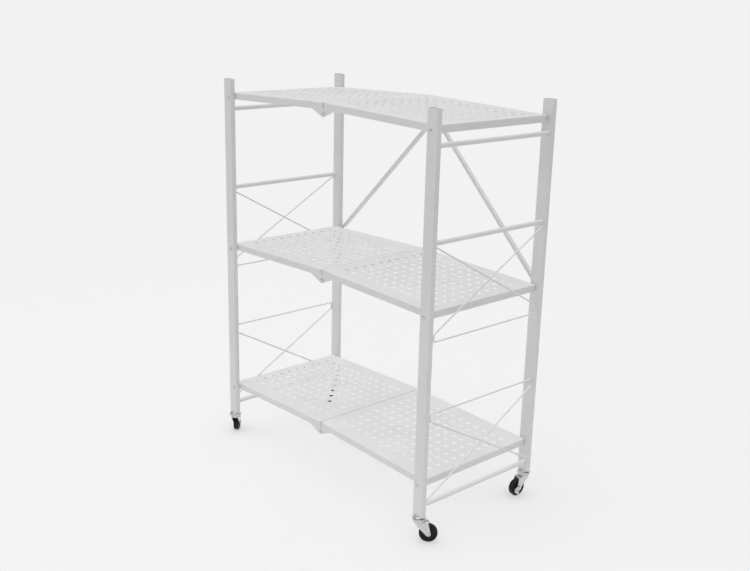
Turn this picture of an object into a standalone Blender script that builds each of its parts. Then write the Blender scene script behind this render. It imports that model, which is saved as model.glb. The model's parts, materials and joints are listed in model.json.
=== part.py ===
"""Three-tier folding rack on four swivel casters.

Two side frames, each of two flat posts tied by three rails and two bent wire braces, carry three
shelves.  Every shelf is two sheet-metal halves that hinge on the posts at their outer ends and on
each other at the middle, so the rack folds flat as the middles rise.  Behind the shelves a guide
rod links the three middle hinges, and a hub that slides on it holds two diagonal braces.

Metres, +Z up, +X to the right, -Y to the front.  The origin is on the floor under the middle.
"""
import math

import bmesh
import bpy
from mathutils import Matrix, Vector

# Overall sizes
FRAME_WIDTH = 0.700
FRAME_DEPTH = 0.340
POST_HEIGHT = 0.828
CASTER_HEIGHT = 0.0575
GAP = 0.0003

# Posts: rectangular tubes, broad side to the front
POST_WIDTH = 0.028
POST_DEPTH = 0.012
POST_WALL = 0.0009
POST_CORNER = 0.0022

# Shelves
BOTTOM_PIVOT_Z = CASTER_HEIGHT + 0.0675
TIER_SPACING = 0.359
PIVOT_FROM_OUTSIDE = 0.0177
SHEET = 0.0007
RIM = 0.015
SURFACE_ABOVE_PIVOT = 0.011
SURFACE_ABOVE_MIDDLE_PIN = 0.024
MIDDLE_PIN_DROP = 0.0035
SHELF_END_OVERHANG = 0.0062
SHELF_END_GAP = 0.0008
EAR_LENGTH = 0.036
EAR_RADIUS = 0.007
EAR_STEP = SHEET + 0.0004
MIDDLE_SEAM = 0.0007
BELOW_SHELF = 0.05

# Fasteners
RIVET_RADIUS = 0.0026
RIVET_HOLE_RADIUS = RIVET_RADIUS + GAP
RIVET_HEAD_RADIUS = 0.0044
RIVET_HEAD_HEIGHT = 0.0016
RIVET_TAIL_RADIUS = 0.0040
RIVET_TAIL_HEIGHT = 0.0012
FINE_SIDES = 8
DRILL_REACH = 0.02

# Side frames
RAIL_RADIUS = 0.005
RAIL_BORE = 0.0041
RAIL_FROM_OUTSIDE = 0.009
RAIL_HEIGHTS = {"upper": 0.759, "middle": 0.574, "lower": 0.0235}
WIRE_RADIUS = 0.00175
WIRE_FROM_OUTSIDE = 0.0028
WIRE_LEG_RISE = 0.176
WIRE_LOOP_DROP = 0.015
WIRE_LOOP_IN = 0.003
WIRE_FOOT_HEIGHTS = {"upper": 0.392, "lower": 0.210}

# Rear linkage
ROD_RADIUS = 0.0035
ROD_BEHIND_SHELF = 0.0065
EYE_RADIUS = 0.007
EYE_DEPTH = 0.0078
HUB_PIVOT_BELOW_SURFACE = 0.0665
HUB_PIVOT_HALF_SPAN = 0.016
HUB_PLATE_HALF_WIDTH = 0.0245
HUB_PLATE_HALF_HEIGHT = 0.0105
HUB_PLATE = 0.0014
HUB_PLATE_CORNER = 0.005
HUB_RADIUS = 0.0065
HUB_TIP_RADIUS = 0.0047
HUB_SLEEVE_LENGTH = 0.035
HUB_TIP_LENGTH = 0.0105
BRACE_WIDTH = 0.007
BRACE_END_RADIUS = 0.005
BRACE_WEB = 0.0014
BRACE_DEPTH = 0.009
BRACE_FLANGE_SETBACK = 0.014
BRACE_FLANGE_INSET = 0.0001
BRACE_END_OPENING = 50

# Casters
WHEEL_RADIUS = 0.0195
WHEEL_SIDES = 20
WHEEL_WIDTH = 0.0125
WHEEL_TREAD_WIDTH = 0.0088
WHEEL_RIM_DEPTH = 0.0014
WHEEL_RIM_RADIUS = 0.0152
WHEEL_WEB_RADIUS = 0.0137
WHEEL_WEB_INSET = 0.0015
WHEEL_BOSS_WIDTH = 0.0135
WHEEL_BOSS_RADIUS = 0.0059
WHEEL_BOSS_FOOT_RADIUS = 0.0070
TRAIL = 0.020
AXLE_RADIUS = 0.0023
AXLE_HEAD_RADIUS = 0.0041
AXLE_HEAD_HEIGHT = 0.0013
FORK_GAP = 0.0145
FORK_SHEET = 0.0014
FORK_TOP_Z = 0.0485
FORK_DISC_RADIUS = 0.0125
FORK_DISC_CHAMFER = 0.0015
FORK_DISC_DEPTH = 0.0045
FORK_FOOT_RADIUS = 0.0055
FORK_LEG_AHEAD = 0.0190
FORK_LEG_BEHIND = 0.0075
FORK_LEG_OVERLAP = 0.0025
FORK_LEG_DROP = 0.0035
KINGPIN_RADIUS = 0.003
KINGPIN_HEAD_RADIUS = 0.0051
KINGPIN_HEAD_HEIGHT = 0.0014
RACE_RADIUS = 0.0145
RACE_TOP_RADIUS = 0.0116
RACE_SHOULDER_RADIUS = 0.0123
RACE_STEP = 0.002
STEM_RADIUS = 0.004
STEM_LENGTH = 0.025
LEVER_SHEET = 0.0012
LEVER_EYE_RADIUS = 0.0058
LEVER_REACH = 0.0145
LEVER_TAB = 0.012
LEVER_TAB_LOW = 0.0060
LEVER_TAB_HIGH = 0.0020
LEVER_TAB_THICK = 0.0016
CASTER_HEADINGS = {
    ("front", "left"): 135.0,
    ("front", "right"): 45.0,
    ("rear", "left"): -70.0,
    ("rear", "right"): -95.0,
}

# Worked out from the sizes above
SIDES = {"left": -1.0, "right": 1.0}
ENDS = {"front": -1.0, "rear": 1.0}
TIERS = {
    "bottom": BOTTOM_PIVOT_Z,
    "middle": BOTTOM_PIVOT_Z + TIER_SPACING,
    "top": BOTTOM_PIVOT_Z + 2 * TIER_SPACING,
}
POST_INNER_Y = FRAME_DEPTH / 2 - POST_DEPTH
PIVOT_X = FRAME_WIDTH / 2 - PIVOT_FROM_OUTSIDE
PIN_BELOW_PIVOT_LINE = SURFACE_ABOVE_MIDDLE_PIN - SURFACE_ABOVE_PIVOT
PIVOT_TO_PIN = math.hypot(PIVOT_X, MIDDLE_PIN_DROP)
SHELF_RUN = math.sqrt(PIVOT_TO_PIN ** 2 - PIN_BELOW_PIVOT_LINE ** 2)
SHELF_SLOPE = math.atan2(PIN_BELOW_PIVOT_LINE, SHELF_RUN) - math.atan2(MIDDLE_PIN_DROP, PIVOT_X)
SHELF_HALF_DEPTH = {
    "left": POST_INNER_Y - SHELF_END_GAP,
    "right": POST_INNER_Y - SHELF_END_GAP - EAR_STEP,
}
REAR_EXTENT = FRAME_DEPTH / 2 + 2 * GAP + BRACE_DEPTH
FRONT_EXTENT = FRAME_DEPTH / 2 + GAP + RIVET_HEAD_HEIGHT
MIDDLE_Y = (FRONT_EXTENT - REAR_EXTENT) / 2
ROD_Y = SHELF_HALF_DEPTH["left"] + ROD_BEHIND_SHELF + GAP
BRACE_Y = FRAME_DEPTH / 2 + 2 * GAP
HUB_PLATE_Y = BRACE_Y - GAP - HUB_PLATE
SURFACE_MIDDLE_RISE = (SURFACE_ABOVE_MIDDLE_PIN * math.cos(SHELF_SLOPE)) - MIDDLE_PIN_DROP
HUB_PIVOT_Z = TIERS["top"] + SURFACE_MIDDLE_RISE - HUB_PIVOT_BELOW_SURFACE


# ---------------------------------------------------------------- helpers
def finish(name, colour, roughness, metallic):
    """A plain Principled material."""
    material = bpy.data.materials.new(name)
    material.use_nodes = True
    shader = material.node_tree.nodes["Principled BSDF"]
    shader.inputs["Base Color"].default_value = (*colour, 1.0)
    shader.inputs["Roughness"].default_value = roughness
    shader.inputs["Metallic"].default_value = metallic
    return material


def add_object(name, bm, material, smooth=False):
    """Turn a bmesh into an object of the scene."""
    bmesh.ops.recalc_face_normals(bm, faces=bm.faces)
    mesh = bpy.data.meshes.new(name)
    bm.to_mesh(mesh)
    bm.free()
    if smooth:
        mesh.shade_smooth()
        mesh.set_sharp_from_angle(angle=math.radians(40))
    thing = bpy.data.objects.new(name, mesh)
    bpy.context.scene.collection.objects.link(thing)
    if material:
        mesh.materials.append(material)
    return thing


def combine(thing, others, operation):
    """Join other objects to one, or cut them from it, and remove them."""
    for other in others:
        step = thing.modifiers.new(operation.lower(), "BOOLEAN")
        step.operation = operation
        step.solver = "EXACT"
        step.object = other
    bpy.context.view_layer.update()
    graph = bpy.context.evaluated_depsgraph_get()
    result = bpy.data.meshes.new_from_object(thing.evaluated_get(graph))
    thing.modifiers.clear()
    thing.data = result
    result.name = thing.name
    for other in others:
        bpy.data.objects.remove(other)
    return thing


def add_prism(bm, outline, low, high):
    """Close an outline of (x, z) points into a prism from y = low to y = high."""
    front = [bm.verts.new((x, low, z)) for x, z in outline]
    back = [bm.verts.new((x, high, z)) for x, z in outline]
    count = len(outline)
    bm.faces.new(front)
    bm.faces.new(list(reversed(back)))
    for i in range(count):
        j = (i + 1) % count
        bm.faces.new((front[j], front[i], back[i], back[j]))


def prism(name, outline, low, high, material=None):
    bm = bmesh.new()
    add_prism(bm, outline, low, high)
    return add_object(name, bm, material)


def add_turned(bm, profile, sides, place=Matrix()):
    """Turn a closed profile of (radius, height) points about the local Z axis."""
    rings = []
    for radius, height in profile:
        if radius == 0:
            rings.append([bm.verts.new(place @ Vector((0, 0, height)))])
            continue
        ring = []
        for i in range(sides):
            angle = 2 * math.pi * (i + 0.5) / sides
            point = Vector((radius * math.cos(angle), radius * math.sin(angle), height))
            ring.append(bm.verts.new(place @ point))
        rings.append(ring)
    bored = profile[0][0] > 0
    pairs = list(zip(rings, rings[1:]))
    if bored:
        pairs.append((rings[-1], rings[0]))
    for low, high in pairs:
        for i in range(sides):
            j = (i + 1) % sides
            if len(low) == 1:
                bm.faces.new((low[0], high[i], high[j]))
            elif len(high) == 1:
                bm.faces.new((low[i], low[j], high[0]))
            else:
                bm.faces.new((low[i], low[j], high[j], high[i]))


def turned(name, profile, sides, place=Matrix(), material=None):
    bm = bmesh.new()
    add_turned(bm, profile, sides, place)
    return add_object(name, bm, material, smooth=True)


def along_y(x, y, z):
    """A frame at a point whose local Z runs along +Y."""
    return Matrix.Translation((x, y, z)) @ Matrix.Rotation(math.radians(-90), 4, "X")


def drill(x, z, radius, low, high):
    """A round cutter along Y."""
    profile = [(0, low), (radius, low), (radius, high), (0, high)]
    return turned("drill", profile, FINE_SIDES, along_y(x, 0, z))


def arc(x, z, radius, start, stop, steps):
    """Points round a circle in the X-Z plane, angles in degrees from +X towards +Z."""
    points = []
    for i in range(steps + 1):
        angle = math.radians(start + (stop - start) * i / steps)
        points.append((x + radius * math.cos(angle), z + radius * math.sin(angle)))
    return points


def add_tube(bm, path, radius, sides, across):
    """A round bar along a path that lies in the plane square to the vector across."""
    rings = []
    for i, point in enumerate(path):
        before = (point - path[max(i - 1, 0)]).normalized()
        after = (path[min(i + 1, len(path) - 1)] - point).normalized()
        heading = (before + after).normalized()
        stretch = 1.0
        if before.length and after.length:
            stretch = 1 / heading.dot(after)
        outward = heading.cross(across).normalized() * stretch
        ring = []
        for k in range(sides):
            angle = 2 * math.pi * (k + 0.5) / sides
            offset = across * math.cos(angle) + outward * math.sin(angle)
            ring.append(bm.verts.new(point + offset * radius))
        rings.append(ring)
    for low, high in zip(rings, rings[1:]):
        for k in range(sides):
            j = (k + 1) % sides
            bm.faces.new((low[k], low[j], high[j], high[k]))
    bm.faces.new(rings[0])
    bm.faces.new(rings[-1])


def tube(name, path, radius, sides, across, material=None):
    bm = bmesh.new()
    add_tube(bm, [Vector(point) for point in path], radius, sides, across)
    return add_object(name, bm, material, smooth=True)


def rounded_rectangle(width, depth, corner, steps):
    points = []
    centres = [(1, 1, 0), (-1, 1, 90), (-1, -1, 180), (1, -1, 270)]
    for sx, sy, start in centres:
        x = sx * (width / 2 - corner)
        y = sy * (depth / 2 - corner)
        points += arc(x, y, corner, start, start + 90, steps)
    return points


# ---------------------------------------------------------------- side frames
def make_post(end, side, white):
    """A rectangular tube, open at both ends, drilled for the three shelf pivots."""
    name = f"post_{end}_{side}"
    bm = bmesh.new()
    loops = []
    for width, depth, corner in (
        (POST_WIDTH, POST_DEPTH, POST_CORNER),
        (POST_WIDTH - 2 * POST_WALL, POST_DEPTH - 2 * POST_WALL, POST_CORNER - POST_WALL),
    ):
        outline = rounded_rectangle(width, depth, corner, 1)
        loops.append([[bm.verts.new((x, y, z)) for x, y in outline] for z in (0, POST_HEIGHT)])
    (outer_low, outer_high), (inner_low, inner_high) = loops
    count = len(outer_low)
    for i in range(count):
        j = (i + 1) % count
        bm.faces.new((outer_low[i], outer_low[j], outer_high[j], outer_high[i]))
        bm.faces.new((inner_low[j], inner_low[i], inner_high[i], inner_high[j]))
        bm.faces.new((outer_high[i], outer_high[j], inner_high[j], inner_high[i]))
        bm.faces.new((outer_low[j], outer_low[i], inner_low[i], inner_low[j]))
    post = add_object(name, bm, white)
    x = SIDES[side] * (FRAME_WIDTH - POST_WIDTH) / 2
    y = ENDS[end] * (FRAME_DEPTH - POST_DEPTH) / 2
    hole_x = SIDES[side] * PIVOT_X - x
    holes = [
        drill(hole_x, z - CASTER_HEIGHT, RIVET_HOLE_RADIUS, -POST_DEPTH, POST_DEPTH)
        for z in TIERS.values()
    ]
    combine(post, holes, "DIFFERENCE")
    post.location = (x, MIDDLE_Y + y, CASTER_HEIGHT)
    return post


def make_rail(level, side, white):
    """A round tube, open at both ends."""
    reach = POST_INNER_Y - GAP
    profile = [(RAIL_BORE, -reach), (RAIL_RADIUS, -reach), (RAIL_RADIUS, reach), (RAIL_BORE, reach)]
    x = SIDES[side] * (FRAME_WIDTH / 2 - RAIL_FROM_OUTSIDE)
    place = along_y(0, 0, 0)
    rail = turned(f"rail_{level}_{side}", profile, 10, place, white)
    rail.location = (x, MIDDLE_Y, CASTER_HEIGHT + RAIL_HEIGHTS[level])
    return rail


def make_wire_brace(level, side, white):
    """One bent wire: two legs that cross, and a loop that runs level between their feet."""
    lean = math.atan2(WIRE_LEG_RISE, 2 * POST_INNER_Y)
    reach = POST_INNER_Y - GAP - WIRE_RADIUS * math.sin(lean)
    bend = POST_INNER_Y - WIRE_LOOP_IN
    if level == "upper":
        foot, tip, loop = 0.0, WIRE_LEG_RISE, -WIRE_LOOP_DROP
    else:
        foot, tip, loop = 0.0, -WIRE_LEG_RISE, WIRE_LOOP_DROP
    across = Vector((1, 0, 0))
    first = [(0, -reach, tip), (0, bend, foot), (0, bend, loop), (0, -bend, loop), (0, -bend, foot)]
    last = [(0, -bend, foot), (0, reach, tip)]
    wire = tube(f"wire_brace_{level}_{side}", first, WIRE_RADIUS, FINE_SIDES, across, white)
    leg = tube("leg", last, WIRE_RADIUS * 0.999, FINE_SIDES, across)
    combine(wire, [leg], "UNION")
    x = SIDES[side] * (FRAME_WIDTH / 2 - WIRE_FROM_OUTSIDE)
    wire.location = (x, MIDDLE_Y, CASTER_HEIGHT + WIRE_FOOT_HEIGHTS[level])
    return wire


# ---------------------------------------------------------------- shelves
def shelf_outline(facing):
    """Side view of a shelf half from its post pivot, with the hinge ear under its inner end."""
    top = SURFACE_ABOVE_PIVOT
    low = top - RIM
    inner_x = PIVOT_X - MIDDLE_SEAM / 2
    run = (inner_x + low * math.sin(SHELF_SLOPE)) / math.cos(SHELF_SLOPE)
    pin_z = -PIN_BELOW_PIVOT_LINE
    ear_start = run - EAR_LENGTH
    drop = low - pin_z
    lean = math.degrees(math.atan2(drop, SHELF_RUN - ear_start))
    reach = math.hypot(drop, SHELF_RUN - ear_start)
    tangent = -90 - lean - math.degrees(math.asin(EAR_RADIUS / reach))
    cap = arc(SHELF_RUN, pin_z, EAR_RADIUS, 85, tangent, 7)
    points = [(-SHELF_END_OVERHANG, low), (-SHELF_END_OVERHANG, top), (run, top), (run, low)]
    points += cap
    points.append((ear_start, low))
    return [(facing * x, z) for x, z in points], run, low


def make_shelf(tier, side, white):
    """Half a shelf: a pan with four turned-down rims and two hinge ears."""
    facing = -SIDES[side]
    half = SHELF_HALF_DEPTH[side]
    outline, run, low = shelf_outline(facing)
    shelf = prism(f"shelf_{tier}_{side}", outline, -half, half, white)
    under = SURFACE_ABOVE_PIVOT - SHEET
    far = run + 2 * EAR_RADIUS
    hollow_outline = [
        (-SHELF_END_OVERHANG + SHEET, under),
        (run - SHEET, under),
        (run - SHEET, low),
        (far, low),
        (far, -BELOW_SHELF),
        (-SHELF_END_OVERHANG + SHEET, -BELOW_SHELF),
    ]
    hollow = prism("hollow", [(facing * x, z) for x, z in hollow_outline], SHEET - half, half - SHEET)
    holes = [
        drill(0, 0, RIVET_HOLE_RADIUS, -FRAME_DEPTH, FRAME_DEPTH),
        drill(facing * SHELF_RUN, -PIN_BELOW_PIVOT_LINE, RIVET_HOLE_RADIUS, -FRAME_DEPTH, FRAME_DEPTH),
    ]
    combine(shelf, [hollow] + holes, "DIFFERENCE")
    shelf.location = (SIDES[side] * PIVOT_X, MIDDLE_Y, TIERS[tier])
    shelf.rotation_euler = (0, -facing * SHELF_SLOPE, 0)
    return shelf


# ---------------------------------------------------------------- fasteners
def make_rivet(name, x, z, facing, head_y, tail_y, steel, collar=None):
    """A rivet along Y: a domed head at head_y, a flat tail at tail_y, both measured outwards."""
    profile = [
        (0, head_y + RIVET_HEAD_HEIGHT),
        (RIVET_HEAD_RADIUS * 0.6, head_y + RIVET_HEAD_HEIGHT),
        (RIVET_HEAD_RADIUS, head_y + RIVET_HEAD_HEIGHT * 0.3),
        (RIVET_HEAD_RADIUS, head_y),
        (RIVET_RADIUS, head_y),
    ]
    if collar:
        low, high = collar
        profile += [
            (RIVET_RADIUS, high),
            (RIVET_TAIL_RADIUS, high),
            (RIVET_TAIL_RADIUS, low),
            (RIVET_RADIUS, low),
        ]
    profile += [
        (RIVET_RADIUS, tail_y),
        (RIVET_TAIL_RADIUS, tail_y),
        (RIVET_TAIL_RADIUS, tail_y - RIVET_TAIL_HEIGHT),
        (0, tail_y - RIVET_TAIL_HEIGHT),
    ]
    turn = Matrix.Rotation(math.radians(90 if facing < 0 else -90), 4, "X")
    rivet = turned(name, profile, FINE_SIDES, turn, steel)
    rivet.location = (x, MIDDLE_Y, z)
    return rivet


def make_post_rivets(steel):
    for side in SIDES:
        tail = SHELF_HALF_DEPTH[side] - SHEET - GAP
        for end in ENDS:
            for tier, z in TIERS.items():
                head = FRAME_DEPTH / 2 + GAP
                if end == "rear" and tier == "middle":
                    head = BRACE_Y + BRACE_WEB + GAP
                collar = None
                if side == "right":
                    collar = (SHELF_HALF_DEPTH[side] + GAP, POST_INNER_Y - GAP)
                name = f"rivet_{end}_{side}_{tier}"
                make_rivet(name, SIDES[side] * PIVOT_X, z, ENDS[end], head, tail, steel, collar)


def make_middle_pins(steel):
    """Pins of the middle hinges; the rear ones also pass through the eyes of the guide rod."""
    tail = SHELF_HALF_DEPTH["right"] - SHEET - GAP
    for tier, z in TIERS.items():
        pin_z = z - MIDDLE_PIN_DROP
        front_head = SHELF_HALF_DEPTH["left"] + GAP
        make_rivet(f"middle_pin_front_{tier}", 0, pin_z, -1, front_head, tail, steel)
        rear_head = ROD_Y + EYE_DEPTH / 2 + GAP
        collar = (front_head, ROD_Y - EYE_DEPTH / 2 - GAP)
        make_rivet(f"middle_pin_rear_{tier}", 0, pin_z, 1, rear_head, tail, steel, collar)


# ---------------------------------------------------------------- rear linkage
def make_guide_rod(white):
    """A round rod with a flat eye at each of the three middle hinges."""
    low = TIERS["bottom"] - MIDDLE_PIN_DROP
    high = TIERS["top"] - MIDDLE_PIN_DROP
    profile = [(0, low), (ROD_RADIUS, low), (ROD_RADIUS, high), (0, high)]
    rod = turned("guide_rod", profile, 10, Matrix(), white)
    half = EYE_DEPTH / 2
    eye_profile = [(0, -half), (EYE_RADIUS, -half), (EYE_RADIUS, half), (0, half)]
    eyes = []
    for z in TIERS.values():
        eyes.append(turned("eye", eye_profile, 16, along_y(0, 0, z - MIDDLE_PIN_DROP)))
    combine(rod, eyes, "UNION")
    holes = []
    for z in TIERS.values():
        holes.append(drill(0, z - MIDDLE_PIN_DROP, RIVET_HOLE_RADIUS, -DRILL_REACH, DRILL_REACH))
    combine(rod, holes, "DIFFERENCE")
    rod.location = (0, MIDDLE_Y + ROD_Y, 0)
    return rod


def make_slider_hub(white):
    """The sleeve that slides on the rod, with a plate that faces the braces."""
    half_height = HUB_PLATE_HALF_HEIGHT
    tip = -half_height - HUB_SLEEVE_LENGTH
    bore = ROD_RADIUS + GAP
    profile = [
        (bore, half_height),
        (HUB_RADIUS, half_height),
        (HUB_RADIUS, tip + HUB_TIP_LENGTH),
        (HUB_TIP_RADIUS, tip),
        (bore, tip),
    ]
    hub = turned("slider_hub", profile, 16, Matrix(), white)
    # The plate is a little lower than the sleeve and stops inside its wall, so the bore stays open.
    wide = HUB_PLATE_HALF_WIDTH
    tall = half_height - GAP
    cut = HUB_PLATE_CORNER
    outline = [
        (-wide, cut - tall),
        (cut - wide, -tall),
        (wide - cut, -tall),
        (wide, cut - tall),
        (wide, tall - cut),
        (wide - cut, tall),
        (cut - wide, tall),
        (-wide, tall - cut),
    ]
    front = HUB_PLATE_Y - ROD_Y
    plate = prism("plate", outline, front, front + HUB_PLATE)
    combine(hub, [plate], "UNION")
    hub.location = (0, MIDDLE_Y + ROD_Y, HUB_PIVOT_Z)
    return hub


def make_brace(side, white):
    """A channel from the middle pivot of a rear post up to the hub."""
    run = PIVOT_X - HUB_PIVOT_HALF_SPAN
    rise = HUB_PIVOT_Z - TIERS["middle"]
    length = math.hypot(run, rise)
    half = BRACE_WIDTH / 2
    opening = BRACE_END_OPENING
    lower = arc(0, 0, BRACE_END_RADIUS, opening, 360 - opening, 8)
    upper = arc(length, 0, BRACE_END_RADIUS, opening - 180, 180 - opening, 8)
    neck = 2 * BRACE_END_RADIUS
    outline = lower + [(neck, -half), (length - neck, -half)] + upper
    outline += [(length - neck, half), (neck, half)]
    brace = prism(f"brace_{side}", outline, 0, BRACE_WEB, white)
    flange_low = BRACE_FLANGE_SETBACK
    flange_high = length - BRACE_FLANGE_SETBACK
    flanges = []
    for sign in (-1, 1):
        edge = sign * (half - BRACE_FLANGE_INSET)
        inner = sign * (half - BRACE_WEB)
        outline = [(flange_low, edge), (flange_high, edge), (flange_high, inner), (flange_low, inner)]
        flanges.append(prism("flange", outline, BRACE_WEB / 2, BRACE_DEPTH))
    combine(brace, flanges, "UNION")
    combine(brace, [drill(0, 0, RIVET_HOLE_RADIUS, -DRILL_REACH, DRILL_REACH)], "DIFFERENCE")
    angle = math.atan2(rise, run)
    if side == "right":
        angle = math.pi - angle
    brace.location = (SIDES[side] * PIVOT_X, MIDDLE_Y + BRACE_Y, TIERS["middle"])
    brace.rotation_euler = (0, -angle, 0)
    return brace


# ---------------------------------------------------------------- casters
def make_caster_stem(name, steel):
    """The fixed part: a stem inside the post, the upper race and the kingpin."""
    top = CASTER_HEIGHT - GAP
    race_low = FORK_TOP_Z + 2 * GAP
    retainer = FORK_TOP_Z - FORK_DISC_DEPTH - GAP
    profile = [
        (0, top + STEM_LENGTH),
        (STEM_RADIUS, top + STEM_LENGTH),
        (STEM_RADIUS, top),
        (RACE_TOP_RADIUS, top),
        (RACE_SHOULDER_RADIUS, top - RACE_STEP),
        (RACE_RADIUS, top - 2 * RACE_STEP),
        (RACE_RADIUS, race_low),
        (KINGPIN_RADIUS, race_low),
        (KINGPIN_RADIUS, retainer),
        (KINGPIN_HEAD_RADIUS, retainer),
        (KINGPIN_HEAD_RADIUS, retainer - KINGPIN_HEAD_HEIGHT),
        (0, retainer - KINGPIN_HEAD_HEIGHT),
    ]
    return turned(name, profile, 12, Matrix(), steel)


def make_caster_fork(name, steel):
    """The yoke: a bored disc and two legs that lean back to the axle."""
    low = FORK_TOP_Z - FORK_DISC_DEPTH
    bore = KINGPIN_RADIUS + GAP
    profile = [
        (bore, low),
        (FORK_DISC_RADIUS, low),
        (FORK_DISC_RADIUS, FORK_TOP_Z - FORK_DISC_CHAMFER),
        (FORK_DISC_RADIUS - FORK_DISC_CHAMFER, FORK_TOP_Z),
        (bore, FORK_TOP_Z),
    ]
    fork = turned(name, profile, 16, Matrix(), steel)
    outline = arc(TRAIL, WHEEL_RADIUS, FORK_FOOT_RADIUS, -125, 30, 5)
    outline += [
        (FORK_LEG_AHEAD, low + FORK_LEG_OVERLAP),
        (-FORK_LEG_BEHIND, low + FORK_LEG_OVERLAP),
        (-FORK_LEG_BEHIND, low - FORK_LEG_DROP),
    ]
    legs = []
    for sign in (-1, 1):
        near = sign * FORK_GAP / 2
        far = sign * (FORK_GAP / 2 + FORK_SHEET)
        legs.append(prism("leg", outline, min(near, far), max(near, far)))
    combine(fork, legs, "UNION")
    axle_hole = drill(TRAIL, WHEEL_RADIUS, AXLE_RADIUS + GAP, -DRILL_REACH, DRILL_REACH)
    combine(fork, [axle_hole], "DIFFERENCE")
    return fork


def make_caster_wheel(name, rubber):
    """A one-piece wheel whose flats touch the full wheel radius, so one of them meets the floor."""
    tread = WHEEL_RADIUS / math.cos(math.pi / WHEEL_SIDES)
    bore = AXLE_RADIUS + GAP
    half = WHEEL_WIDTH / 2
    boss = WHEEL_BOSS_WIDTH / 2
    web = half - WHEEL_WEB_INSET
    side = [
        (bore, boss),
        (WHEEL_BOSS_RADIUS, boss),
        (WHEEL_BOSS_FOOT_RADIUS, web),
        (WHEEL_WEB_RADIUS, web),
        (WHEEL_RIM_RADIUS, half),
        (WHEEL_RADIUS - WHEEL_RIM_DEPTH, half),
        (tread, WHEEL_TREAD_WIDTH / 2),
    ]
    profile = side + [(radius, -height) for radius, height in reversed(side)]
    return turned(name, profile, WHEEL_SIDES, along_y(0, 0, 0), rubber)


def make_caster_axle(name, reach, steel):
    """A rivet across the fork; reach is how far its outer head stands from the middle."""
    inner = FORK_GAP / 2 + FORK_SHEET + GAP
    profile = [
        (0, -inner - AXLE_HEAD_HEIGHT),
        (AXLE_HEAD_RADIUS, -inner - AXLE_HEAD_HEIGHT),
        (AXLE_HEAD_RADIUS, -inner),
        (AXLE_RADIUS, -inner),
        (AXLE_RADIUS, reach),
        (AXLE_HEAD_RADIUS, reach),
        (AXLE_HEAD_RADIUS, reach + AXLE_HEAD_HEIGHT),
        (0, reach + AXLE_HEAD_HEIGHT),
    ]
    return turned(name, profile, FINE_SIDES, along_y(0, 0, 0), steel)


def make_brake_lever(name, steel):
    """A side lever that turns on the axle, with a foot tab bent outwards."""
    near = FORK_GAP / 2 + FORK_SHEET + GAP
    far = near + LEVER_SHEET
    edge = LEVER_REACH + GAP
    outline = arc(0, 0, LEVER_EYE_RADIUS, 60, 300, 8)
    outline += [
        (edge, -LEVER_TAB_LOW - GAP),
        (edge, LEVER_TAB_HIGH + GAP),
    ]
    lever = prism(name, outline, near, far, steel)
    tab_outline = [
        (LEVER_REACH - LEVER_TAB_THICK, -LEVER_TAB_LOW),
        (LEVER_REACH, -LEVER_TAB_LOW),
        (LEVER_REACH, LEVER_TAB_HIGH),
        (LEVER_REACH - LEVER_TAB_THICK, LEVER_TAB_HIGH),
    ]
    tab = prism("tab", tab_outline, near + LEVER_SHEET / 2, far + LEVER_TAB)
    combine(lever, [tab], "UNION")
    combine(lever, [drill(0, 0, AXLE_RADIUS + GAP, 0, DRILL_REACH)], "DIFFERENCE")
    return lever


def make_caster(end, side, steel, rubber):
    place = f"{end}_{side}"
    heading = math.radians(CASTER_HEADINGS[end, side])
    x = SIDES[side] * (FRAME_WIDTH - POST_WIDTH) / 2
    y = MIDDLE_Y + ENDS[end] * (FRAME_DEPTH - POST_DEPTH) / 2
    stem = make_caster_stem(f"caster_stem_{place}", steel)
    stem.location = (x, y, 0)
    swivel = bpy.data.objects.new(f"swivel_{place}", None)
    bpy.context.scene.collection.objects.link(swivel)
    swivel.location = (x, y, 0)
    swivel.rotation_euler = (0, 0, heading)
    fork = make_caster_fork(f"caster_fork_{place}", steel)
    fork.parent = swivel
    braked = end == "rear"
    reach = FORK_GAP / 2 + FORK_SHEET + GAP
    if braked:
        reach += LEVER_SHEET + GAP
    turning = [
        make_caster_wheel(f"caster_wheel_{place}", rubber),
        make_caster_axle(f"caster_axle_{place}", reach, steel),
    ]
    if braked:
        turning.append(make_brake_lever(f"brake_lever_{side}", steel))
    for piece in turning:
        piece.parent = swivel
        piece.location = (TRAIL, 0, WHEEL_RADIUS)


# ---------------------------------------------------------------- the whole rack
def main():
    for thing in list(bpy.data.objects):
        bpy.data.objects.remove(thing)
    white = finish("white_powder_coat", (0.80, 0.80, 0.80), 0.45, 0.0)
    steel = finish("zinc_plated_steel", (0.62, 0.62, 0.63), 0.35, 1.0)
    rubber = finish("black_rubber", (0.02, 0.02, 0.02), 0.6, 0.0)
    for side in SIDES:
        for end in ENDS:
            make_post(end, side, white)
        for level in RAIL_HEIGHTS:
            make_rail(level, side, white)
        for level in WIRE_FOOT_HEIGHTS:
            make_wire_brace(level, side, white)
        for tier in TIERS:
            make_shelf(tier, side, white)
        make_brace(side, white)
    make_post_rivets(steel)
    make_middle_pins(steel)
    make_guide_rod(white)
    make_slider_hub(white)
    for end, side in CASTER_HEADINGS:
        make_caster(end, side, steel, rubber)


main()
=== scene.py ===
"""Looks of a three-tier folding rack on casters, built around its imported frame.

Every CAD node is stood for by a finer piece of the same size in the same place: round-cornered
tube posts, perforated pans with bent rims, welded rails and wires, pressed casters.  Metres, +Z up,
-Y to the front, as in the frame.
"""
import json
import math

import bmesh
import bpy
from mathutils import Matrix, Vector


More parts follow.
